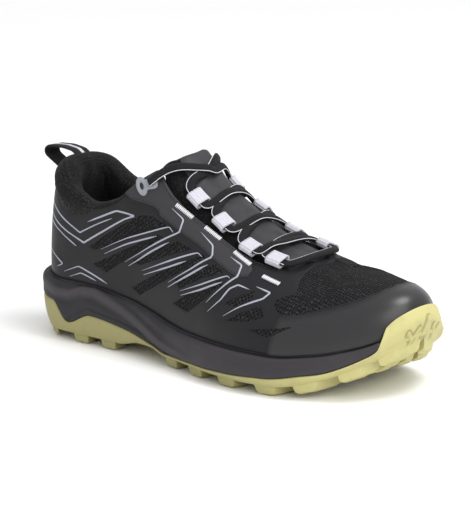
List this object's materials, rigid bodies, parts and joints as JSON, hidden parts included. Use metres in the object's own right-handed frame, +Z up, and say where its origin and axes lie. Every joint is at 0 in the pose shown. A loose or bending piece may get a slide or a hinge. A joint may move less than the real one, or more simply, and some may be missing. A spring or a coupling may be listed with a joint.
{
  "type": "trail running shoe",
  "caption": "Low-cut trail running shoe with a lugged rubber outsole, sculpted foam midsole, padded collar, tongue, webbing lace loops and a heel pull loop.",
  "frame": {"origin": "centre of the bounding box's bottom face, on the plane that the lugs stand on", "axes": "+X towards the toe, +Y towards the medial side of this right shoe, +Z up"},
  "size_m": [0.2954, 0.1066, 0.1163],
  "materials": {
    "outsole_rubber": "matte moulded rubber",
    "midsole_foam": "matte moulded foam",
    "sock_liner": "brushed textile",
    "upper_textile": "open mesh under smooth film",
    "tongue_knit": "padded knit",
    "strap": "woven strap",
    "lace_cord": "flat woven lace",
    "eyelet_film": "satin welded film",
    "webbing": "ribbed webbing"
  },
  "bodies": {
    "root": {"outsole": "outsole_rubber", "midsole": "midsole_foam", "insole": "sock_liner", "upper": "upper_textile", "tongue": "tongue_knit", "pull_loop": "strap", "lace": "lace_cord", "eyelet_plate_lateral": "eyelet_film", "eyelet_plate_medial": "eyelet_film", "webbing_loop_lateral_1": "webbing", "webbing_loop_lateral_2": "webbing", "webbing_loop_lateral_3": "webbing", "webbing_loop_lateral_4": "webbing", "webbing_loop_medial_1": "webbing", "webbing_loop_medial_2": "webbing", "webbing_loop_medial_3": "webbing", "webbing_loop_medial_4": "webbing"}
  },
  "joints": []
}
